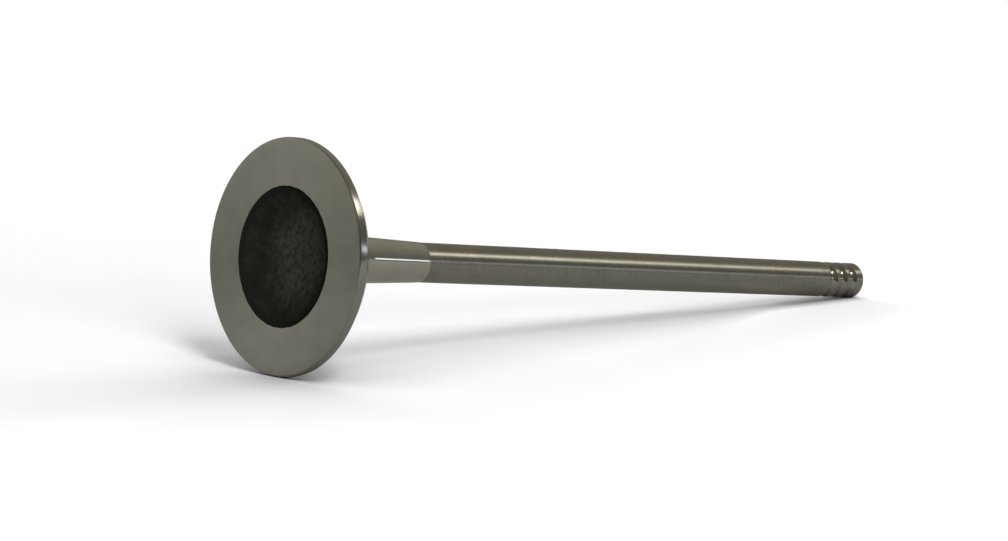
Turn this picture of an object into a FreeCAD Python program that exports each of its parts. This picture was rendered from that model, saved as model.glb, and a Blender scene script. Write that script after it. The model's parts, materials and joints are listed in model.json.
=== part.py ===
import FreeCAD, Part
import math
import os
import Sketcher

# Engine valve, one piece of steel: forged, turned and ground.
# It stands on its head. The origin is the centre of the combustion face, and +Z runs up the stem to the tip.

os.makedirs("parts", exist_ok=True)
doc = FreeCAD.newDocument("EngineValve")

# Driving sizes, in millimetres and degrees: name, value, what it is
SIZES = [
    ("overall_length", 148.6, "combustion face to stem tip"),
    ("head_diameter", 40.0, "over the margin"),
    ("margin_height", 1.5, "straight rim below the seat"),
    ("rim_break", 0.2, "edge break between combustion face and margin"),
    ("seat_height", 2.2, "seat cone, measured along the axis"),
    ("seat_angle", 45.0, "seat cone to the axis"),
    ("back_angle", 18.0, "back of the head, to the combustion face"),
    ("underhead_radius", 14.0, "round from the back of the head into the neck"),
    ("neck_taper_angle", 2.1, "half angle of the forged neck"),
    ("neck_end_diameter", 7.1, "forged neck where the grinding starts, a trace thicker than the ground stem"),
    ("ground_start", 30.1, "combustion face to full ground diameter"),
    ("grinding_lead", 0.5, "from the forged neck down to the ground stem"),
    ("stem_diameter", 7.0, "ground stem, runs in the guide"),
    ("tip_chamfer", 0.5, "at the stem tip"),
    ("dish_diameter", 23.8, "as-forged dish in the combustion face"),
    ("dish_depth", 2.4, "dish at its centre"),
    ("groove_depth", 0.7, "keeper groove, below the ground stem"),
    ("groove_radius", 1.06, "round form of a keeper groove"),
    ("groove_pitch", 3.0, "from one keeper groove to the next"),
    ("groove_count", 3, "keeper grooves"),
    ("groove_to_tip", 3.45, "last keeper groove to the tip"),
    ("groove_edge_radius", 0.15, "round on the edges of the keeper grooves"),
]

sheet = doc.addObject("Spreadsheet::Sheet", "Sizes")
for row, (alias, value, note) in enumerate(SIZES, start=1):
    sheet.set(f"A{row}", alias)
    sheet.set(f"B{row}", str(value))
    sheet.set(f"C{row}", note)
    sheet.setAlias(f"B{row}", alias)
doc.recompute()


def size(alias):
    """The value of a named cell, as a plain number."""
    return float(sheet.get(alias))


def origin_plane(body, role):
    """The body's own origin plane with this role."""
    return next(plane for plane in body.Origin.OriginFeatures if plane.Role == role)


def half_section_sketch(body, name):
    """An empty sketch in the body's XZ plane: its X is the radius, its Y the height along the valve."""
    sketch = body.newObject("Sketcher::SketchObject", name)
    sketch.AttachmentSupport = [(origin_plane(body, "XZ_Plane"), "")]
    sketch.MapMode = "FlatFace"
    return sketch


def polar(angle, length=1.0):
    """A vector of this length in the sketch plane, at an angle in degrees from the radius direction."""
    radians = math.radians(angle)
    return FreeCAD.Vector(length * math.cos(radians), length * math.sin(radians), 0)


def dimension(sketch, name, formula, *constraint):
    """Adds a named dimension to a sketch and ties it to the sheet."""
    index = sketch.addConstraint(Sketcher.Constraint(*constraint))
    sketch.renameConstraint(index, name)
    sketch.setExpression(f"Constraints.{name}", formula)


# Point numbers of a sketch line or arc, and the sketch's own origin point
START, END, CENTRE = range(1, 4)
ORIGIN_POINT = (-1, START)

FULL_TURN = 360
SAME_PLACE = 0.001


def draw_blank_profile(sketch):
    """Half section of the turned blank, without the dish and the keeper grooves.

    The lines are drawn where the sizes put them, so the solver starts from the finished shape.
    """
    vector = FreeCAD.Vector
    head_radius = size("head_diameter") / 2
    stem_radius = size("stem_diameter") / 2
    neck_radius = size("neck_end_diameter") / 2
    seat_top_height = size("margin_height") + size("seat_height")
    seat_top_radius = head_radius - size("seat_height") * math.tan(math.radians(size("seat_angle")))
    neck_end_height = size("ground_start") - size("grinding_lead")

    # The underhead round touches the back of the head and the tapered neck from outside.
    back_normal = polar(90 - size("back_angle"))
    neck_normal = polar(size("neck_taper_angle"))
    back_point = vector(seat_top_radius, seat_top_height, 0)
    neck_point = vector(neck_radius, neck_end_height, 0)
    round_radius = size("underhead_radius")
    back_reach = back_normal.dot(back_point) + round_radius
    neck_reach = neck_normal.dot(neck_point) + round_radius
    spread = back_normal.x * neck_normal.y - back_normal.y * neck_normal.x
    round_centre = vector(
        (back_reach * neck_normal.y - neck_reach * back_normal.y) / spread,
        (back_normal.x * neck_reach - neck_normal.x * back_reach) / spread,
        0,
    )
    back_touch = round_centre - back_normal * round_radius
    neck_touch = round_centre - neck_normal * round_radius

    def line(start, end):
        return sketch.addGeometry(Part.LineSegment(start, end), False)

    face = line(vector(0, 0, 0), vector(head_radius, 0, 0))
    margin = line(vector(head_radius, 0, 0), vector(head_radius, size("margin_height"), 0))
    seat = line(vector(head_radius, size("margin_height"), 0), back_point)
    back = line(back_point, back_touch)
    circle = Part.Circle(round_centre, vector(0, 0, 1), round_radius)
    neck_touch_angle = math.radians(180 + size("neck_taper_angle"))
    back_touch_angle = math.radians(270 - size("back_angle"))
    underhead = sketch.addGeometry(Part.ArcOfCircle(circle, neck_touch_angle, back_touch_angle), False)
    neck = line(neck_touch, neck_point)
    lead = line(neck_point, vector(stem_radius, size("ground_start"), 0))
    stem = line(vector(stem_radius, size("ground_start"), 0), vector(stem_radius, size("overall_length"), 0))
    tip = line(vector(stem_radius, size("overall_length"), 0), vector(0, size("overall_length"), 0))
    axis = line(vector(0, size("overall_length"), 0), vector(0, 0, 0))

    def join(first, second):
        sketch.addConstraint(Sketcher.Constraint("Coincident", first, END, second, START))

    join(face, margin)
    join(margin, seat)
    join(seat, back)
    join(neck, lead)
    join(lead, stem)
    join(stem, tip)
    join(tip, axis)
    join(axis, face)
    sketch.addConstraint(Sketcher.Constraint("Tangent", back, END, underhead, END))
    sketch.addConstraint(Sketcher.Constraint("Tangent", neck, START, underhead, START))
    sketch.addConstraint(Sketcher.Constraint("Coincident", face, START, *ORIGIN_POINT))
    sketch.addConstraint(Sketcher.Constraint("Horizontal", face))
    sketch.addConstraint(Sketcher.Constraint("Vertical", margin))
    sketch.addConstraint(Sketcher.Constraint("Vertical", stem))
    sketch.addConstraint(Sketcher.Constraint("Horizontal", tip))
    sketch.addConstraint(Sketcher.Constraint("Vertical", axis))

    dimension(sketch, "head_radius", "Sizes.head_diameter / 2",
              "DistanceX", face, START, face, END, head_radius)
    dimension(sketch, "margin_height", "Sizes.margin_height",
              "DistanceY", margin, START, margin, END, size("margin_height"))
    dimension(sketch, "seat_height", "Sizes.seat_height",
              "DistanceY", seat, START, seat, END, size("seat_height"))
    dimension(sketch, "seat_angle", "Sizes.seat_angle * 1 deg",
              "Angle", margin, START, seat, START, math.radians(size("seat_angle")))
    dimension(sketch, "back_angle", "Sizes.back_angle * 1 deg",
              "Angle", back, START, face, END, math.radians(size("back_angle")))
    dimension(sketch, "underhead_radius", "Sizes.underhead_radius",
              "Radius", underhead, round_radius)
    dimension(sketch, "neck_taper_angle", "Sizes.neck_taper_angle * 1 deg",
              "Angle", stem, START, neck, START, math.radians(size("neck_taper_angle")))
    dimension(sketch, "neck_end_radius", "Sizes.neck_end_diameter / 2",
              "DistanceX", *ORIGIN_POINT, neck, END, neck_radius)
    dimension(sketch, "grinding_lead", "Sizes.grinding_lead",
              "DistanceY", lead, START, lead, END, size("grinding_lead"))
    dimension(sketch, "ground_start", "Sizes.ground_start",
              "DistanceY", *ORIGIN_POINT, lead, END, size("ground_start"))
    dimension(sketch, "stem_radius", "Sizes.stem_diameter / 2",
              "DistanceX", *ORIGIN_POINT, stem, START, stem_radius)
    dimension(sketch, "overall_length", "Sizes.overall_length",
              "DistanceY", *ORIGIN_POINT, tip, END, size("overall_length"))


def draw_dish_profile(sketch):
    """Half section of the shallow dish, a cap of a sphere, that the forging leaves in the combustion face."""
    vector = FreeCAD.Vector
    edge_radius = size("dish_diameter") / 2
    depth = size("dish_depth")
    sphere_radius = (edge_radius ** 2 + depth ** 2) / (2 * depth)
    centre = vector(0, depth - sphere_radius, 0)
    edge_angle = math.atan2(-centre.y, edge_radius)

    face = sketch.addGeometry(Part.LineSegment(vector(0, 0, 0), vector(edge_radius, 0, 0)), False)
    sphere = Part.Circle(centre, vector(0, 0, 1), sphere_radius)
    floor = sketch.addGeometry(Part.ArcOfCircle(sphere, edge_angle, math.pi / 2), False)
    axis = sketch.addGeometry(Part.LineSegment(vector(0, depth, 0), vector(0, 0, 0)), False)

    sketch.addConstraint(Sketcher.Constraint("Coincident", face, START, *ORIGIN_POINT))
    sketch.addConstraint(Sketcher.Constraint("Horizontal", face))
    sketch.addConstraint(Sketcher.Constraint("Coincident", face, END, floor, START))
    sketch.addConstraint(Sketcher.Constraint("Coincident", floor, END, axis, START))
    sketch.addConstraint(Sketcher.Constraint("Coincident", axis, END, face, START))
    sketch.addConstraint(Sketcher.Constraint("Vertical", axis))
    sketch.addConstraint(Sketcher.Constraint("PointOnObject", floor, CENTRE, axis))
    dimension(sketch, "dish_radius", "Sizes.dish_diameter / 2",
              "DistanceX", face, START, face, END, edge_radius)
    dimension(sketch, "dish_depth", "Sizes.dish_depth",
              "DistanceY", axis, END, axis, START, depth)


def draw_keeper_groove_profile(sketch):
    """The round form of the keeper groove nearest the tip. Its centre lies outside the ground stem."""
    radius = size("groove_radius")
    reach = size("stem_diameter") / 2 - size("groove_depth") + radius
    height = size("overall_length") - size("groove_to_tip")
    circle = Part.Circle(FreeCAD.Vector(reach, height, 0), FreeCAD.Vector(0, 0, 1), radius)
    groove = sketch.addGeometry(circle, False)
    dimension(sketch, "groove_radius", "Sizes.groove_radius",
              "Radius", groove, radius)
    dimension(sketch, "groove_reach", "Sizes.stem_diameter / 2 - Sizes.groove_depth + Sizes.groove_radius",
              "DistanceX", *ORIGIN_POINT, groove, CENTRE, reach)
    dimension(sketch, "groove_height", "Sizes.overall_length - Sizes.groove_to_tip",
              "DistanceY", *ORIGIN_POINT, groove, CENTRE, height)


def turned(body, kind, name, sketch):
    """A full turn of a half section about the valve's axis: a Revolution adds it, a Groove cuts it."""
    feature = body.newObject(kind, name)
    feature.Profile = sketch
    feature.ReferenceAxis = (sketch, ["V_Axis"])
    feature.Angle = FULL_TURN
    sketch.Visibility = False
    doc.recompute()
    return feature


def round_edges(feature, radius, lowest, highest):
    """Names of the feature's circles about the axis that have this radius and lie between two heights."""
    names = []
    for number, edge in enumerate(feature.Shape.Edges, start=1):
        if edge.Degenerated or not isinstance(edge.Curve, Part.Circle):
            continue
        curve = edge.Curve
        on_axis = math.hypot(curve.Center.x, curve.Center.y) < SAME_PLACE
        same_radius = abs(curve.Radius - radius) < SAME_PLACE
        between = lowest - SAME_PLACE < curve.Center.z < highest + SAME_PLACE
        if on_axis and same_radius and between:
            names.append(f"Edge{number}")
    return names


def dressed(body, kind, name, feature, edges, size_name, formula):
    """A Fillet or a Chamfer on edges of the last feature, with its size tied to the sheet."""
    edge_dress = body.newObject(kind, name)
    edge_dress.Base = (feature, edges)
    edge_dress.setExpression(size_name, formula)
    doc.recompute()
    return edge_dress


valve = doc.addObject("PartDesign::Body", "Valve")
valve.Label = "valve"

# Blank: head, margin, seat, neck and ground stem in one half section
blank_profile = half_section_sketch(valve, "BlankProfile")
draw_blank_profile(blank_profile)
blank = turned(valve, "PartDesign::Revolution", "TurnedBlank", blank_profile)

# Dish in the combustion face
dish_profile = half_section_sketch(valve, "DishProfile")
draw_dish_profile(dish_profile)
dish = turned(valve, "PartDesign::Groove", "CombustionDish", dish_profile)

# Keeper grooves: one round groove, repeated from the tip towards the head
groove_profile = half_section_sketch(valve, "KeeperGrooveProfile")
draw_keeper_groove_profile(groove_profile)
last_groove = turned(valve, "PartDesign::Groove", "KeeperGroove", groove_profile)
grooves = valve.newObject("PartDesign::LinearPattern", "KeeperGrooves")
grooves.Originals = [last_groove]
grooves.Direction = (groove_profile, ["V_Axis"])
grooves.Reversed = True
grooves.Mode = "Spacing"
grooves.setExpression("Offset", "Sizes.groove_pitch")
grooves.setExpression("Occurrences", "Sizes.groove_count")
valve.Tip = grooves
doc.recompute()

# Rounded groove edges: every circle on the ground stem that isn't one of its two ends
stem_radius = size("stem_diameter") / 2
inside_start = size("ground_start") + size("grinding_lead")
inside_end = size("overall_length") - size("tip_chamfer")
groove_edges = round_edges(grooves, stem_radius, inside_start, inside_end)
rounded = dressed(valve, "PartDesign::Fillet", "GrooveEdgeRounds", grooves, groove_edges,
                  "Radius", "Sizes.groove_edge_radius")

# Edge break round the combustion face, then the chamfer at the stem tip
rim_edge = round_edges(rounded, size("head_diameter") / 2, 0, 0)
broken = dressed(valve, "PartDesign::Chamfer", "RimBreak", rounded, rim_edge,
                 "Size", "Sizes.rim_break")
tip_edge = round_edges(broken, stem_radius, size("overall_length"), size("overall_length"))
finished = dressed(valve, "PartDesign::Chamfer", "TipChamfer", broken, tip_edge,
                   "Size", "Sizes.tip_chamfer")
valve.Tip = finished
doc.recompute()

# Every object is sound, and every cut and edge break takes material away
for item in doc.Objects:
    if "Invalid" in item.State or "Error" in item.State:
        raise RuntimeError(f"{item.Name} failed: {item.State}")
steps = [blank, dish, last_groove, grooves, broken, finished]
for before, after in zip(steps, steps[1:]):
    if after.Shape.Volume >= before.Shape.Volume:
        raise RuntimeError(f"{after.Name} takes nothing away")
if valve.Shape.isNull() or not valve.Shape.isValid() or len(valve.Shape.Solids) != 1:
    raise RuntimeError("the valve is not one sound solid")

for piece in doc.findObjects("PartDesign::Body"):
    piece.Shape.exportStep(f"parts/{piece.Label}.step")
    print(piece.Label, "volume in cubic millimetres:", round(piece.Shape.Volume, 1))
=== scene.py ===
import json
import math

import bpy
from bpy.props import FloatProperty, FloatVectorProperty, IntProperty, PointerProperty
from bpy.types import Operator, Panel, PropertyGroup
from mathutils import Matrix, Vector


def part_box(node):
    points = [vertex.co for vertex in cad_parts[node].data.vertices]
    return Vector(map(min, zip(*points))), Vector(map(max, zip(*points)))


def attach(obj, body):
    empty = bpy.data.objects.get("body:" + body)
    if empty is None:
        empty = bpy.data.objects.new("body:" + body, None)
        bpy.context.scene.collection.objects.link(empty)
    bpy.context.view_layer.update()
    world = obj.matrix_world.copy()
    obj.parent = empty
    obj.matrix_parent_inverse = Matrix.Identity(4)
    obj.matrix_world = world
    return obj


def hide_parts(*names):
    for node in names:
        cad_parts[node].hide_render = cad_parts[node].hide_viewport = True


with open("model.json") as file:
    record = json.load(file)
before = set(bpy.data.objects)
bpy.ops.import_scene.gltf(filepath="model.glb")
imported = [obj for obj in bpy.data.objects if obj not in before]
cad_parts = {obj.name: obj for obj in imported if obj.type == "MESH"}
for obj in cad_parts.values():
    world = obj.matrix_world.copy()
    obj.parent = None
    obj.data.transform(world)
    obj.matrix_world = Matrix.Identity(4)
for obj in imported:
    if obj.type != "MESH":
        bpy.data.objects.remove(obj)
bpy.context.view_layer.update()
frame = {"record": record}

bl_info = {
    "name": "Engine Valve",
    "version": (1, 0, 0),
    "blender": (4, 5, 0),
    "location": "3D View > Sidebar > Engine Valve",
    "description": "Models an engine's poppet valve, turned in one piece, and its photo stage",
    "category": "Object",
}

MM = 0.001
X_AXIS, Y_AXIS, Z_AXIS = Vector((1, 0, 0)), Vector((0, 1, 0)), Vector((0, 0, 1))

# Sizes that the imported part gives: its box, the middle of its axis, and the mount of the ground
# stem
VALVE_LOW, VALVE_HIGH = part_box("valve")
MIDDLE = Z_AXIS * VALVE_HIGH.z / 2
STEM_MOUNT = next(mount for mount in frame["record"]["mounts"] if mount["name"] == "stem")


# ---------------------------------------------------------------- what a user would change

def length(name, description, default):
    """A length property, in metres inside and in the scene's unit on screen."""
    return FloatProperty(name=name, description=description, default=default,
                         unit="LENGTH", subtype="DISTANCE")


def angle(name, description, degrees):
    """An angle property, given in degrees."""
    return FloatProperty(name=name, description=description, default=math.radians(degrees),
                         unit="ROTATION", subtype="ANGLE")


def share(name, description, default):
    """A number from 0 to 1."""
    return FloatProperty(name=name, description=description, default=default,
                         min=0, max=1, subtype="FACTOR")


def whole(name, description, default, low, high):
    """A whole number from low to high."""
    return IntProperty(name=name, description=description, default=default, min=low, max=high)


def colour(name, description, default):
    """A linear colour."""
    return FloatVectorProperty(name=name, description=description, default=default,
                               subtype="COLOR", size=3, min=0, max=1)


class ValveSizes(PropertyGroup):
    overall_length: length("Overall length", "Combustion face to stem tip", VALVE_HIGH.z)
    head_diameter: length("Head diameter", "Over the margin", round(VALVE_HIGH.y - VALVE_LOW.y, 4))
    margin_height: length("Margin height", "Straight rim below the seat", 1.5 * MM)
    rim_break: length("Rim break", "Edge break between combustion face and margin", 0.2 * MM)
    seat_height: length("Seat height", "Seat cone, along the axis", 2.2 * MM)
    seat_angle: angle("Seat angle", "Seat cone to the axis", 45)
    back_angle: angle("Back angle", "Back of the head to the combustion face", 18)
    underhead_radius: length("Underhead radius", "Round between head and neck", 14 * MM)
    neck_taper: angle("Neck taper", "Half angle of the neck", 2.1)
    neck_end_diameter: length("Neck end diameter", "Neck where the grinding starts", 7.1 * MM)
    ground_start: length("Ground start", "Combustion face to the full ground diameter", 30.1 * MM)
    grinding_lead: length("Grinding lead", "Run-in of the ground stem", 0.5 * MM)
    stem_diameter: length("Stem diameter", "Ground stem", 2 * STEM_MOUNT["dims"]["r_mm"] * MM)
    tip_chamfer: length("Tip chamfer", "Edge break at the stem tip", 0.5 * MM)
    dish_diameter: length("Dish diameter", "As-forged dish in the combustion face", 23.8 * MM)
    dish_depth: length("Dish depth", "Dish at its centre", 2.4 * MM)
    groove_depth: length("Groove depth", "Keeper groove, below the ground stem", 0.7 * MM)
    groove_radius: length("Groove radius", "Round form of a keeper groove", 1.06 * MM)
    groove_edge_radius: length("Groove edge radius", "Round on the edges of the grooves", 0.15 * MM)
    groove_pitch: length("Groove pitch", "From one keeper groove to the next", 3 * MM)
    groove_count: whole("Grooves", "Number of keeper grooves", 3, low=1, high=4)
    groove_to_tip: length("Groove to tip", "Last keeper groove to the tip", 3.45 * MM)
    burr_round: length("Edge softness", "Tiny round on every turned edge", 0.05 * MM)
    scale_relief: length("Scale relief", "Height of the forged scale in the dish", 0.06 * MM)
    sides: whole("Sides", "Facets round the valve", 192, low=48, high=256)


class ValveFinish(PropertyGroup):
    steel: colour("Steel", "Ground steel of the stem", (0.30, 0.294, 0.268))
    face_steel: colour("Face", "Turned steel of the face, margin and seat", (0.307, 0.305, 0.290))
    neck_steel: colour("Neck", "Smooth neck and back of the head", (0.42, 0.413, 0.38))
    groove_steel: colour("Grooves", "Bright keeper grooves", (0.35, 0.343, 0.312))
    scale: colour("Forged scale", "Dark skin of the dish", (0.0090, 0.0092, 0.0068))
    # Lighter colour of the scale, used for its wear and for painted light in the dish
    worn_and_lit_scale: colour("Worn scale", "Lighter patches of the dish", (0.034, 0.0348, 0.0278))
    face_roughness: share("Face roughness", "Turned combustion face", 0.40)
    rim_roughness: share("Rim roughness", "Ground margin and seat", 0.24)
    neck_roughness: share("Neck roughness", "Smooth outer end of the neck", 0.10)
    under_head_roughness: share("Under-head roughness", "Back of the head, down to the neck", 0.30)
    stem_roughness: share("Stem roughness", "Ground stem", 0.36)
    groove_roughness: share("Groove roughness", "Keeper grooves", 0.13)
    scale_roughness: share("Scale roughness", "Dish", 0.6)


class PhotoStage(PropertyGroup):
    floor_azimuth: angle("Floor direction", "Direction the photo floor faces, seen from above", 225)
    lean: angle("Lean", "Stem to floor, with rim and tip touching the floor", 6.45)
    heading: angle("Heading", "Stem to the picture plane, seen from above the photo floor", 43.1)
    floor_drop: length("Floor drop", "Photo floor below the centre of the face", 20.0 * MM)
    camera_right: length("Camera right", "Camera to the right of the combustion face", 36.88 * MM)
    camera_up: length("Camera up", "Camera above the centre of the combustion face", 52.49 * MM)
    camera_back: length("Camera back", "Camera in front of the combustion face", 446.19 * MM)
    camera_pitch: angle("Camera pitch", "Camera looks down by this angle", 7)
    camera_lens: FloatProperty(name="Lens", description="Focal length for a 36 mm sensor",
                               default=96.43)
    key_colour: colour("Key light", "Colour of the soft key light", (1.0, 0.94, 0.82))
    strip_colour: colour("Strip light", "Colour of the low strip light", (0.86, 0.90, 1.0))


# ---------------------------------------------------------------- shader values

class Value:
    """A value in a node tree. Arithmetic on it adds Math nodes, and node() adds any other node."""

    def __init__(self, tree, socket=None):
        self.tree = tree
        self.socket = socket

    def node(self, kind, settings=None, sockets=None, output=0):
        """Adds a node: first its settings, then the values or links of its sockets."""
        made = self.tree.nodes.new(kind)
        for name, setting in (settings or {}).items():
            setattr(made, name, setting)
        for name, value in (sockets or {}).items():
            if isinstance(value, Value):
                self.tree.links.new(value.socket, made.inputs[name])
            else:
                made.inputs[name].default_value = value
        return Value(self.tree, made.outputs[output])

    def surface(self, shader, kind="ShaderNodeOutputMaterial"):
        """Ends the tree with its output node."""
        output = self.tree.nodes.new(kind)
        self.tree.links.new(shader.socket, output.inputs["Surface"])

    def math(self, operation, *values):
        return self.node("ShaderNodeMath", {"operation": operation}, dict(enumerate(values)))

    def __add__(self, other):
        return self.math("ADD", self, other)

    def __sub__(self, other):
        return self.math("SUBTRACT", self, other)

    def __rsub__(self, other):
        return self.math("SUBTRACT", other, self)

    def __mul__(self, other):
        return self.math("MULTIPLY", self, other)

    def __truediv__(self, other):
        return self.math("DIVIDE", self, other)

    def __pow__(self, other):
        return self.math("POWER", self, other)

    __radd__ = __add__

    def vector(self, operation, other=None):
        """Vector arithmetic on this value. A length, a distance or a dot product is a number."""
        sockets = {0: self}
        if other is not None:
            sockets[3 if operation == "SCALE" else 1] = other
        number = operation in ("LENGTH", "DISTANCE", "DOT_PRODUCT")
        return self.node("ShaderNodeVectorMath", {"operation": operation}, sockets, int(number))

    def rise(self, low, high):
        """0 below low, 1 above high, smooth between them. With low above high it falls."""
        return self.node("ShaderNodeMapRange", {"interpolation_type": "SMOOTHSTEP"},
                         {"Value": self, "From Min": low, "From Max": high})

    def mix(self, low, high):
        """A number that goes from low to high as this value goes from 0 to 1."""
        return low + self * (high - low)

    def blend(self, low, high):
        """A colour that goes from low to high as this value goes from 0 to 1."""
        return self.node("ShaderNodeMix", {"data_type": "RGBA"},
                         {0: self, 6: low, 7: high}, output=2)


def rgba(shade):
    """A linear colour with full alpha, as a socket takes it."""
    return (*shade, 1)


def varied(value, noise, by):
    """A number that wanders about this value with a noise, whose middle is 0.5."""
    return value + (noise - 0.5) * by


BLACK = (0, 0, 0)
WHITE = (1, 1, 1)


# ---------------------------------------------------------------- steel

# Heights between which one finish gives way to the next: the dish's scale to steel, and the duller
# back of the head to the smooth neck
SCALE_FADE = (3.2 * MM, 2.8 * MM)
UNDER_HEAD_FADE = (18 * MM, 13 * MM)

# How wide the seam between two finishes is, and the same at the edge of the dish and below the
# edge of a groove
SEAM = 0.1 * MM
DISH_SEAM = (0.02 * MM, -0.05 * MM)
GROOVE_SEAM = (0.05 * MM, 0.12 * MM)

# How far the edge of the forged scale wanders
RAGGED_EDGE = 0.25 * MM

# Scales of the noises, in repeats to the metre
RAGGED, CLOUDS, MOTTLE, PATCHES, GRAIN = 900, 220, 1100, 260, 2200

# Marks of the tools: pitch, and how far they drift round the part
TURNING_MARKS = (0.12 * MM, 1.5)
FINE_MARKS = (0.05 * MM, 1.0)
GRINDING_MARKS = (0.4 * MM, 2.0)

# Depth of the turning marks, and of the grain of the forged scale
MARK_RELIEF = 0.004 * MM
GRAIN_RELIEF = 0.05 * MM

# How much darker the clouds and the grinding marks make the steel, and the levels of their noises
# between which they do it
CLOUD_SHADE, CLOUD_LEVELS = 0.10, (0.35, 0.75)
GRINDING_SHADE, GRINDING_LEVELS = 0.13, (0.38, 0.68)

# How far the noises vary the roughness of the rim, the turned steel, the smooth neck and the scale
RIM_VARIES, STEEL_VARIES, NECK_VARIES, SCALE_VARIES = 0.25, 0.08, 0.08, 0.2

# The turning marks in the relief: their share, the share of the fine marks, and the strength of
# the bump
COARSE_SHARE, FINE_SHARE, MARK_STRENGTH = 0.7, 0.3, 0.35
GRAIN_STRENGTH = 0.9

# The marks stretch a highlight, by this much and a quarter turn from their own direction
STRETCH = 0.85
QUARTER_TURN = 0.25

# The lighter patch in the dish, partly wear and partly painted light: its middle, its reach from
# nothing to full, and the painted shade that darkens the dish towards its edge
WORN_AND_LIT_PATCH = (-2.7 * MM, -2.1 * MM, 0)
WORN_AND_LIT_REACH = (11 * MM, 2.5 * MM)
PAINTED_EDGE_SHADE = (11.5 * MM, 10.0 * MM)

# How far the patches break it up, the wear all over the dish, and its gain and levels in the
# mottle
PATCH_BREAKS = 0.9
WORN_ALL_OVER = 0.12
WORN_GAIN, MOTTLE_LEVELS = 1.5, (0.22, 0.76)


def valve_steel(sizes, finish):
    """The valve's one material: turned head, smooth neck, ground stem, and scale in the dish."""
    material = bpy.data.materials.new("valve steel")
    material.use_nodes = True
    tree = material.node_tree
    tree.nodes.clear()
    start = Value(tree)

    place = start.node("ShaderNodeTexCoord", output="Object")
    height = place.node("ShaderNodeSeparateXYZ", sockets={0: place}, output=2)
    flat = place.vector("MULTIPLY", (1, 1, 0))
    radius = flat.vector("LENGTH")
    bearing = flat.vector("NORMALIZE")

    def noise(scale, detail=2.0, roughness=0.5, vector=place):
        return start.node("ShaderNodeTexNoise", None, {
            "Vector": vector, "Scale": scale, "Detail": detail, "Roughness": roughness})

    def tool_marks(pitch, wander):
        """Fine rings round the axis: a noise along the outline that drifts round the part."""
        along = (radius - height) / pitch
        drift = bearing.vector("SCALE", wander)
        up = start.node("ShaderNodeCombineXYZ", sockets={2: along})
        return noise(1.0, 3.0, 0.6, drift.vector("ADD", up))

    # Zones, each 1 inside and 0 outside
    dish_edge = sizes.dish_diameter / 2
    ragged = noise(RAGGED, 3.0) - 0.5
    outer, inner = DISH_SEAM
    in_dish = (radius + ragged * RAGGED_EDGE).rise(dish_edge + outer, dish_edge + inner)
    dish = in_dish * height.rise(*SCALE_FADE)
    seat_top = sizes.margin_height + sizes.seat_height
    on_neck = (height.rise(seat_top, seat_top + SEAM)
               * height.rise(sizes.ground_start, sizes.ground_start - SEAM))
    on_stem = height.rise(sizes.ground_start - SEAM, sizes.ground_start + SEAM)
    under_head = height.rise(*UNDER_HEAD_FADE)
    on_rim = height.rise(SEAM, 2 * SEAM) * height.rise(seat_top + SEAM, seat_top)
    stem = sizes.stem_diameter / 2
    shallow, deep = GROOVE_SEAM
    in_groove = radius.rise(stem - shallow, stem - deep) * on_stem

    # Steel: its colour by zone, faintly clouded, and darker in the stem's grinding marks
    clouds = noise(CLOUDS, 3.0)
    shade = on_stem.blend(rgba(finish.face_steel), rgba(finish.steel))
    shade = on_neck.blend(shade, rgba(finish.neck_steel))
    shade = in_groove.blend(shade, rgba(finish.groove_steel))
    shade = (clouds.rise(*CLOUD_LEVELS) * CLOUD_SHADE).blend(shade, rgba(BLACK))
    grinding = tool_marks(*GRINDING_MARKS)
    shade = (grinding.rise(*GRINDING_LEVELS) * on_stem * GRINDING_SHADE).blend(shade, rgba(BLACK))
    marks = tool_marks(*TURNING_MARKS)
    fine_marks = tool_marks(*FINE_MARKS)
    polish = on_stem.mix(finish.face_roughness, finish.stem_roughness)
    polish = on_rim.mix(polish, varied(finish.rim_roughness, clouds, RIM_VARIES))
    polish = in_groove.mix(polish, finish.groove_roughness)
    ring_relief = start.node("ShaderNodeBump", None, {
        "Strength": MARK_STRENGTH, "Distance": MARK_RELIEF,
        "Height": marks * COARSE_SHARE + fine_marks * FINE_SHARE})
    steel = start.node("ShaderNodeBsdfPrincipled", None, {
        "Base Color": shade, "Metallic": 1.0, "Roughness": varied(polish, fine_marks, STEEL_VARIES),
        "Anisotropic": STRETCH, "Anisotropic Rotation": QUARTER_TURN, "Normal": ring_relief})
    satin = under_head.mix(finish.neck_roughness, finish.under_head_roughness)
    smooth = start.node("ShaderNodeBsdfPrincipled", None, {
        "Base Color": shade, "Metallic": 1.0, "Roughness": varied(satin, clouds, NECK_VARIES)})

    # Forged scale: dark, mottled and matt, with a lighter patch off the middle that is partly wear
    # and partly painted light, and painted shade towards the dish's edge
    mottle = noise(MOTTLE, 5.0, 0.7)
    patches = noise(PATCHES)
    off_centre = flat.vector("DISTANCE", WORN_AND_LIT_PATCH)
    worn_and_lit = varied(off_centre.rise(*WORN_AND_LIT_REACH), patches, PATCH_BREAKS)
    # Painted light and shade in the dish's colour: lighter off the middle, darker towards the edge
    wear_and_painted_light = (worn_and_lit + WORN_ALL_OVER) * mottle.rise(*MOTTLE_LEVELS) * WORN_GAIN * radius.rise(*PAINTED_EDGE_SHADE)
    grain = start.node("ShaderNodeBump", None, {
        "Strength": GRAIN_STRENGTH, "Distance": GRAIN_RELIEF, "Height": noise(GRAIN, 4.0)})
    scale = start.node("ShaderNodeBsdfPrincipled", None, {
        "Base Color": wear_and_painted_light.blend(rgba(finish.scale), rgba(finish.worn_and_lit_scale)), "Metallic": 0.0,
        "Roughness": varied(finish.scale_roughness, mottle, SCALE_VARIES),
        "Specular IOR Level": 0.0, "Normal": grain})

    turned = start.node("ShaderNodeMixShader", None, {0: on_neck, 1: steel, 2: smooth})
    start.surface(start.node("ShaderNodeMixShader", None, {0: dish, 1: turned, 2: scale}))
    return material


# ---------------------------------------------------------------- the turned piece

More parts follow.
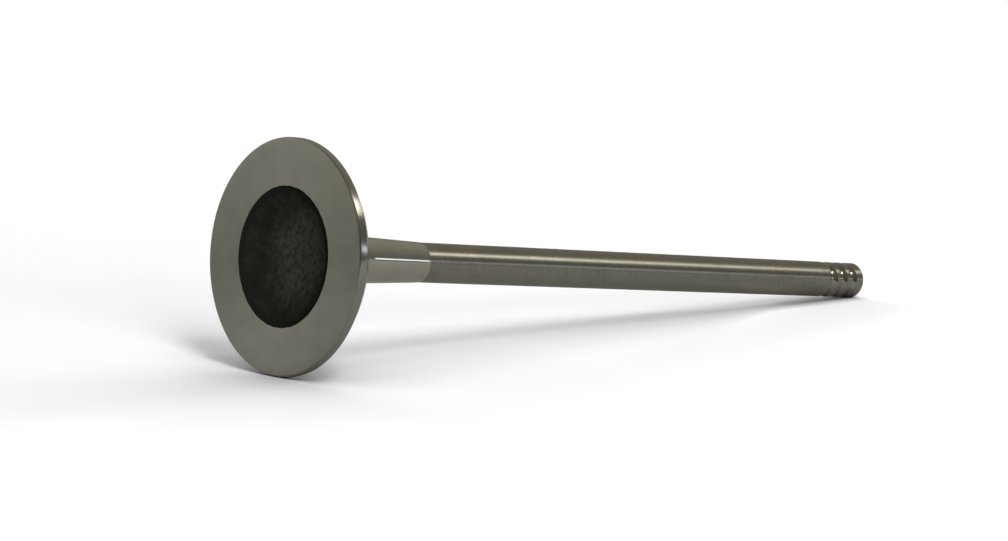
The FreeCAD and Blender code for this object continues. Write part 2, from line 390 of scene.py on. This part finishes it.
# Facets along the half section: the dish, the round under the head, the plain stem, a groove and
# its rounded edge
DISH_FACETS, ROUND_FACETS, STEM_FACETS, GROOVE_FACETS, EDGE_FACETS = 48, 28, 24, 16, 5

# Points nearer than this are one point
SAME_PLACE = 0.0005 * MM

# Edges that turn by more than this are sharp: they get a tiny round
SHARP = math.radians(20)

# Size of the lumps in the forged scale, and how far from the dish's edge they reach their full
# height
SCALE_LUMPS = 1.1 * MM
RELIEF_FADE = 0.6 * MM


class HalfSection:
    """A half section drawn in edit mode from one vertex, in the plane of radius and height."""

    def __init__(self, name, radius, height):
        bpy.ops.object.select_all(action="DESELECT")
        bpy.ops.mesh.primitive_plane_add(size=MM, location=(radius, 0, height))
        self.piece = bpy.context.object
        self.piece.name = self.piece.data.name = name
        bpy.ops.object.transform_apply(location=True, rotation=False, scale=False)
        bpy.ops.object.mode_set(mode="EDIT")
        bpy.ops.mesh.select_all(action="SELECT")
        bpy.ops.mesh.merge(type="CENTER")
        self.radius, self.height = radius, height

    def line(self, radius, height, pieces=1):
        """Extrudes the last vertex in a straight line, in this many equal pieces."""
        step = ((radius - self.radius) / pieces, 0, (height - self.height) / pieces)
        for _ in range(pieces):
            bpy.ops.mesh.extrude_region_move(TRANSFORM_OT_translate={"value": step})
        self.radius, self.height = radius, height

    def arc(self, radius, height, turn, pieces):
        """Spins the last vertex about this centre: a positive turn goes from radius to height."""
        axis = Y_AXIS if turn > 0 else -Y_AXIS
        bpy.ops.mesh.spin(steps=pieces, angle=abs(turn), center=(radius, 0, height), axis=axis)
        out, up = self.radius - radius, self.height - height
        self.radius = radius + out * math.cos(turn) - up * math.sin(turn)
        self.height = height + out * math.sin(turn) + up * math.cos(turn)

    def turned(self, sides):
        """Spins the whole section round the valve's axis and closes it."""
        bpy.ops.mesh.select_all(action="SELECT")
        bpy.ops.mesh.spin(steps=sides, angle=math.tau, center=(0, 0, 0), axis=Z_AXIS)
        bpy.ops.mesh.select_all(action="SELECT")
        bpy.ops.mesh.remove_doubles(threshold=SAME_PLACE)
        bpy.ops.mesh.normals_make_consistent(inside=False)
        return self.piece


def underhead_round(sizes):
    """The round between the back of the head and the neck: its centre, and its end on the back."""
    back_normal = Vector((math.sin(sizes.back_angle), math.cos(sizes.back_angle)))
    neck_normal = Vector((math.cos(sizes.neck_taper), math.sin(sizes.neck_taper)))
    seat_top = Vector((sizes.head_diameter / 2 - sizes.seat_height * math.tan(sizes.seat_angle),
                       sizes.margin_height + sizes.seat_height))
    neck_end = Vector((sizes.neck_end_diameter / 2, sizes.ground_start - sizes.grinding_lead))
    reach = Vector((back_normal.dot(seat_top) + sizes.underhead_radius,
                    neck_normal.dot(neck_end) + sizes.underhead_radius))
    centre = Matrix((back_normal, neck_normal)).inverted() @ reach
    return centre, centre - back_normal * sizes.underhead_radius


def draw_head(section, sizes):
    """Dish, combustion face, margin, seat, back, underhead round and neck, to the ground stem."""
    dish_edge = sizes.dish_diameter / 2
    sphere = (dish_edge ** 2 + sizes.dish_depth ** 2) / (2 * sizes.dish_depth)
    head = sizes.head_diameter / 2
    section.arc(0, sizes.dish_depth - sphere, -math.asin(dish_edge / sphere), DISH_FACETS)
    section.line(head - sizes.rim_break, 0, pieces=4)
    section.line(head, sizes.rim_break)
    section.line(head, sizes.margin_height, pieces=2)
    seat_top = sizes.margin_height + sizes.seat_height
    section.line(head - sizes.seat_height * math.tan(sizes.seat_angle), seat_top, pieces=2)
    centre, back_end = underhead_round(sizes)
    section.line(*back_end, pieces=3)
    section.arc(*centre, -(math.radians(90) - sizes.back_angle - sizes.neck_taper), ROUND_FACETS)
    section.line(sizes.neck_end_diameter / 2, sizes.ground_start - sizes.grinding_lead, pieces=4)
    section.line(sizes.stem_diameter / 2, sizes.ground_start, pieces=2)


def draw_stem(section, sizes):
    """Ground stem, keeper grooves with rounded edges, and the tip."""
    stem = sizes.stem_diameter / 2
    centre = stem - sizes.groove_depth + sizes.groove_radius
    edge = stem - sizes.groove_edge_radius
    reach = math.sqrt((sizes.groove_radius + sizes.groove_edge_radius) ** 2 - (centre - edge) ** 2)
    swing = math.atan2(reach, centre - edge)
    last = sizes.overall_length - sizes.groove_to_tip
    for number in reversed(range(sizes.groove_count)):
        middle = last - number * sizes.groove_pitch
        first = number == sizes.groove_count - 1
        section.line(stem, middle - reach, pieces=STEM_FACETS if first else 1)
        section.arc(edge, middle - reach, swing, EDGE_FACETS)
        section.arc(centre, middle, -2 * swing, GROOVE_FACETS)
        section.arc(edge, middle + reach, swing, EDGE_FACETS)
    section.line(stem, sizes.overall_length - sizes.tip_chamfer, pieces=2)
    section.line(stem - sizes.tip_chamfer, sizes.overall_length)
    section.line(0, sizes.overall_length, pieces=6)


def soften_edges(width):
    """Gives every sharp turned edge a tiny round."""
    bpy.ops.mesh.select_all(action="DESELECT")
    bpy.ops.mesh.select_mode(type="EDGE")
    bpy.ops.mesh.edges_select_sharp(sharpness=SHARP)
    bpy.ops.mesh.bevel(offset=width, segments=3, profile=0.5)
    bpy.ops.mesh.select_mode(type="VERT")


def roughen_dish(piece, sizes):
    """Raises the forged scale in the dish: cloud relief on the dish's vertices alone."""
    dish_edge = sizes.dish_diameter / 2
    group = piece.vertex_groups.new(name="dish")
    for vertex in piece.data.vertices:
        radius = math.hypot(vertex.co.x, vertex.co.y)
        if radius < dish_edge and vertex.co.z < sizes.dish_depth + RELIEF_FADE:
            group.add([vertex.index], min(1, (dish_edge - radius) / RELIEF_FADE), "REPLACE")
    clouds = bpy.data.textures.new("forged scale", "CLOUDS")
    clouds.noise_scale = SCALE_LUMPS
    clouds.noise_depth = 3
    relief = piece.modifiers.new("scale relief", "DISPLACE")
    relief.texture = clouds
    relief.texture_coords = "LOCAL"
    relief.vertex_group = group.name
    relief.mid_level = 0.5
    relief.strength = sizes.scale_relief
    bpy.ops.object.modifier_apply(modifier=relief.name)
    piece.vertex_groups.clear()


class VALVE_OT_turn_valve(Operator):
    """Models the valve as one turned piece of steel"""
    bl_idname = "valve.turn_valve"
    bl_label = "Turn the valve"

    def execute(self, context):
        sizes, finish = context.scene.valve_sizes, context.scene.valve_finish
        section = HalfSection("engine_valve", 0, sizes.dish_depth)
        draw_head(section, sizes)
        draw_stem(section, sizes)
        piece = section.turned(sizes.sides)
        soften_edges(sizes.burr_round)
        bpy.ops.object.mode_set(mode="OBJECT")
        roughen_dish(piece, sizes)
        bpy.ops.object.shade_smooth_by_angle(angle=SHARP)
        piece.data.materials.append(valve_steel(sizes, finish))
        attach(piece, "root")
        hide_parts("valve")
        return {"FINISHED"}


# ---------------------------------------------------------------- stage

# Directions in these tables are in degrees: azimuth turns from the camera towards the photo's
# right, and elevation is over the photo's floor

# Lights that show in the steel, and leave the floor alone: name, azimuth, elevation, angular width
# along the stem and across it, radiance, and the stage's colour
STEEL_LIGHTS = [
    ("key_light", 79, 45.3, 34, 12, 7.3, "key_colour"),
    ("strip_light", 81, 7.3, 28, 4.6, 2.7, "strip_colour"),
]

# Soft lights over the floor, which the steel doesn't mirror: name, azimuth, elevation, angular
# width along the stem and across it, radiance
FLOOR_LIGHTS = [
    ("front_light", 15, 46, 11, 11, 23.3),
    ("front_lower_light", 15, 36, 11, 11, 18.8),
    ("front_low_light", 15, 28, 11, 11, 9.9),
    ("front_floor_light", 19, 14, 22, 11, 28.0),
    ("right_light", 45, 58, 11, 11, 9.9),
    ("high_light", 135, 74, 11, 11, 4.3),
    ("high_right_light", 90, 74, 11, 11, 3.9),
    ("back_high_light", 175, 38, 22, 22, 2.0),
    ("right_low_light", 120, 12, 22, 22, 10.7),
    ("back_right_light", 150, 12, 22, 22, 3.5),
    ("back_light", 180, 12, 22, 22, 5.4),
    ("back_left_light", 210, 12, 22, 22, 15.1),
]

# The dim studio that the steel mirrors, as wide soft glows: azimuth, elevation, and colour at its
# middle
ROOM_GLOWS = [
    (30, 5, (0.057, 0.054, 0.055)),
    (90, 5, (0.121, 0.128, 0.120)),
    (150, 5, (0.049, 0.039, 0.023)),
    (210, 5, (0.149, 0.148, 0.124)),
    (260, 5, (0.694, 0.679, 0.590)),
    (320, 5, (0.023, 0.034, 0.013)),
    (0, 38, (0.184, 0.169, 0.129)),
    (72, 38, (0.154, 0.147, 0.105)),
    (144, 38, (0.355, 0.342, 0.276)),
    (216, 38, (0.324, 0.311, 0.279)),
    (288, 38, (0.252, 0.252, 0.194)),
    (0, 89, (0.104, 0.071, 0.029)),
]
GLOW_SHARPNESS = 5

# Even light on the floor from all round
DOME_STRENGTH = 0.02

# The floors: their side, their colour to the camera and in the steel, and the distances from the
# middle of the valve between which they fade into the white behind them
FLOOR_SIDE = 8
FLOOR_PAINT = (0.92, 0.92, 0.92)
FLOOR_MIRRORED = (0.44, 0.434, 0.385)
PICTURE_FADE = (130 * MM, 280 * MM)

# The painted contact shade on the photo floor close to the valve: how deep it is, how far it
# reaches at the head and at the tip, between which places along the stem the reach changes, and how
# finely it is worked out
CONTACT_DEPTH = 0.75
CONTACT_REACH = (60 * MM, 4 * MM)
CONTACT_SPAN = (15 * MM, 128 * MM)
CONTACT_SAMPLES = 12

# The even floor that the valve stands on in the other views: how far it lies below the valve, its
# colour, and the painted shade round the head, from its darkest to nothing at these distances from
# the centre of the face
REST_FLOOR_DROP = 0.02 * MM
EVEN_PAINT = (0.93, 0.93, 0.93)
PAINTED_SHADE = (0.45, 0.45, 0.45)
PAINTED_SHADE_REACH = (12 * MM, 40 * MM)


def photo_directions(stage):
    """The photo's right, up and towards its camera, as directions of the frame.

    Up is square to the photo floor.
    """
    outward = Vector((math.sin(stage.floor_azimuth), -math.cos(stage.floor_azimuth), 0))
    up = outward * math.cos(stage.lean) - Z_AXIS * math.sin(stage.lean)
    along = (Z_AXIS - up * Z_AXIS.dot(up)).normalized()
    across = up.cross(along)
    right = along * math.cos(stage.heading) - across * math.sin(stage.heading)
    return right, up, right.cross(up)


def turned_to(x_axis, z_axis):
    """The rotation with these two axes."""
    return Matrix((x_axis, z_axis.cross(x_axis), z_axis)).transposed().to_euler()


def set_camera(stage):
    right, up, back = photo_directions(stage)
    place = right * stage.camera_right + up * stage.camera_up + back * stage.camera_back
    behind = back * math.cos(stage.camera_pitch) + up * math.sin(stage.camera_pitch)
    bpy.ops.object.camera_add(location=place, rotation=turned_to(right, behind))
    camera = bpy.context.object
    camera.name = "photo_camera"
    camera.data.lens = stage.camera_lens
    camera.data.clip_start = 10 * MM
    bpy.context.scene.camera = camera


def studio_direction(stage, azimuth, elevation):
    """A direction of the studio, from its azimuth and elevation."""
    right, up, back = photo_directions(stage)
    azimuth, elevation = math.radians(azimuth), math.radians(elevation)
    level = right * math.sin(azimuth) + back * math.cos(azimuth)
    return level * math.cos(elevation) + up * math.sin(elevation)


def soft_light(name, stage, azimuth, elevation, spread, rise, radiance, shade):
    """An area light a metre from the middle of the valve, its long side along the stem.

    Spread is its angular width along the stem, rise its width across it, and radiance how bright
    it looks.
    """
    toward = studio_direction(stage, azimuth, elevation)
    along = (Z_AXIS - toward * toward.z).normalized()
    bpy.ops.object.light_add(type="AREA", location=MIDDLE + toward,
                             rotation=turned_to(along, toward))
    lamp = bpy.context.object
    lamp.name = name
    lamp.visible_camera = False
    light = lamp.data
    light.shape = "RECTANGLE"
    light.size = 2 * math.tan(math.radians(spread / 2))
    light.size_y = 2 * math.tan(math.radians(rise / 2))
    light.color = shade
    light.energy = radiance * math.pi * light.size * light.size_y
    return lamp


def one_sided_floor(name, place, x_axis, normal, even=False):
    """A pale floor that shows only from above, and fades into white away from the valve.

    An even floor has no shadows of the lights, only a painted shade round the standing valve; the
    other floor has painted contact shade close to the valve.
    """
    bpy.ops.mesh.primitive_plane_add(size=FLOOR_SIDE, location=place,
                                     rotation=turned_to(x_axis, normal))
    bpy.ops.object.transform_apply(location=True, rotation=True, scale=True)
    floor = bpy.context.object
    floor.name = floor.data.name = name
    material = bpy.data.materials.new(name.replace("_", " "))
    material.use_nodes = True
    tree = material.node_tree
    tree.nodes.clear()
    start = Value(tree)
    seen_in_steel = start.node("ShaderNodeLightPath", output="Is Glossy Ray")
    place = start.node("ShaderNodeTexCoord", output="Object")
    height = place.node("ShaderNodeSeparateXYZ", sockets={0: place}, output=2)
    reach = height.rise(*CONTACT_SPAN).mix(*CONTACT_REACH)
    open_sky = start.node("ShaderNodeAmbientOcclusion", {"samples": CONTACT_SAMPLES},
                          {"Distance": reach}, output="AO")
    pale = seen_in_steel.blend(rgba(FLOOR_PAINT), rgba(FLOOR_MIRRORED))
    # The floor's colour darkens close to the valve: painted contact shade
    paint = start.node("ShaderNodeBsdfDiffuse", None, {
        "Color": (open_sky ** CONTACT_DEPTH).blend(rgba(BLACK), pale)})
    gone = start.node("ShaderNodeBsdfTransparent")
    if even:
        # Painted shade round the standing valve, lightening with distance from the face
        lit = place.vector("LENGTH").rise(*PAINTED_SHADE_REACH)
        paint = start.node("ShaderNodeEmission", None, {
            "Color": lit.blend(rgba(PAINTED_SHADE), rgba(EVEN_PAINT))})
    away = place.vector("DISTANCE", MIDDLE)
    in_picture = start.node("ShaderNodeLightPath", output="Is Camera Ray")
    fade = away.rise(*PICTURE_FADE) * in_picture
    faded = start.node("ShaderNodeMixShader", None, {0: fade, 1: paint, 2: gone})
    below = start.node("ShaderNodeNewGeometry", output="Backfacing")
    start.surface(start.node("ShaderNodeMixShader", None, {0: below, 1: faded, 2: gone}))
    floor.data.materials.append(material)
    return floor


def set_world(stage):
    """White behind all, even light on the floor, and a dim studio for the steel to mirror."""
    world = bpy.data.worlds.new("studio")
    bpy.context.scene.world = world
    world.use_nodes = True
    world.cycles.sampling_method = "NONE"
    tree = world.node_tree
    tree.nodes.clear()
    start = Value(tree)

    def background(shade, strength=1.0):
        return start.node("ShaderNodeBackground", None, {"Color": shade, "Strength": strength})

    direction = start.node("ShaderNodeTexCoord", output="Generated")
    room = BLACK
    for azimuth, elevation, glow in ROOM_GLOWS:
        facing = direction.vector("DOT_PRODUCT", studio_direction(stage, azimuth, elevation))
        near = facing.math("MAXIMUM", facing, 0.0) ** GLOW_SHARPNESS
        tinted = start.node("ShaderNodeVectorMath", {"operation": "SCALE"}, {0: glow, 3: near})
        room = tinted.vector("ADD", room)
    white = background(rgba(WHITE))
    dome = background(rgba(WHITE), DOME_STRENGTH)
    dim = background(room)
    camera_ray = start.node("ShaderNodeLightPath", output="Is Camera Ray")
    glossy_ray = start.node("ShaderNodeLightPath", output="Is Glossy Ray")
    seen = start.node("ShaderNodeMixShader", None, {0: glossy_ray, 1: dome, 2: dim})
    around = start.node("ShaderNodeMixShader", None, {0: camera_ray, 1: seen, 2: white})
    start.surface(around, "ShaderNodeOutputWorld")


class VALVE_OT_set_stage(Operator):
    """Sets up the photo floor, the rest floor, the studio light and the camera"""
    bl_idname = "valve.set_stage"
    bl_label = "Set the photo stage"

    def execute(self, context):
        stage = context.scene.photo_stage
        right, up, _ = photo_directions(stage)
        bpy.ops.object.select_all(action="DESELECT")
        one_sided_floor("photo_floor", -up * stage.floor_drop, right, up)
        rest = one_sided_floor("rest_floor", -Z_AXIS * REST_FLOOR_DROP, X_AXIS, Z_AXIS, even=True)
        rest.visible_diffuse = rest.visible_glossy = False
        rest.visible_transmission = rest.visible_shadow = False
        for name, *aim, tint in STEEL_LIGHTS:
            soft_light(name, stage, *aim, getattr(stage, tint)).visible_diffuse = False
        for name, *aim in FLOOR_LIGHTS:
            soft_light(name, stage, *aim, WHITE).visible_glossy = False
        set_world(stage)
        set_camera(stage)
        context.scene.view_settings.view_transform = "Standard"
        return {"FINISHED"}


# ---------------------------------------------------------------- panel and registration

class VALVE_PT_engine_valve(Panel):
    """Lists the valve's pieces and the stage, with the sizes and colours behind them"""
    bl_idname = "VALVE_PT_engine_valve"
    bl_label = "Engine Valve"
    bl_space_type = "VIEW_3D"
    bl_region_type = "UI"
    bl_category = "Engine Valve"

    def draw(self, context):
        for operator in OPERATORS:
            self.layout.operator(operator.bl_idname)
        for name in SETTINGS:
            box = self.layout.box()
            group = getattr(context.scene, name)
            for prop in group.bl_rna.properties:
                if not prop.is_readonly and prop.identifier != "name":
                    box.prop(group, prop.identifier)


SETTINGS = {"valve_sizes": ValveSizes, "valve_finish": ValveFinish, "photo_stage": PhotoStage}
OPERATORS = (VALVE_OT_turn_valve, VALVE_OT_set_stage)
CLASSES = (*SETTINGS.values(), *OPERATORS, VALVE_PT_engine_valve)


def register():
    for cls in CLASSES:
        bpy.utils.register_class(cls)
    for name, group in SETTINGS.items():
        setattr(bpy.types.Scene, name, PointerProperty(type=group))


def unregister():
    for name in SETTINGS:
        delattr(bpy.types.Scene, name)
    for cls in reversed(CLASSES):
        bpy.utils.unregister_class(cls)


def main():
    register()
    bpy.ops.valve.turn_valve()
    bpy.ops.valve.set_stage()


if __name__ == "__main__":
    main()
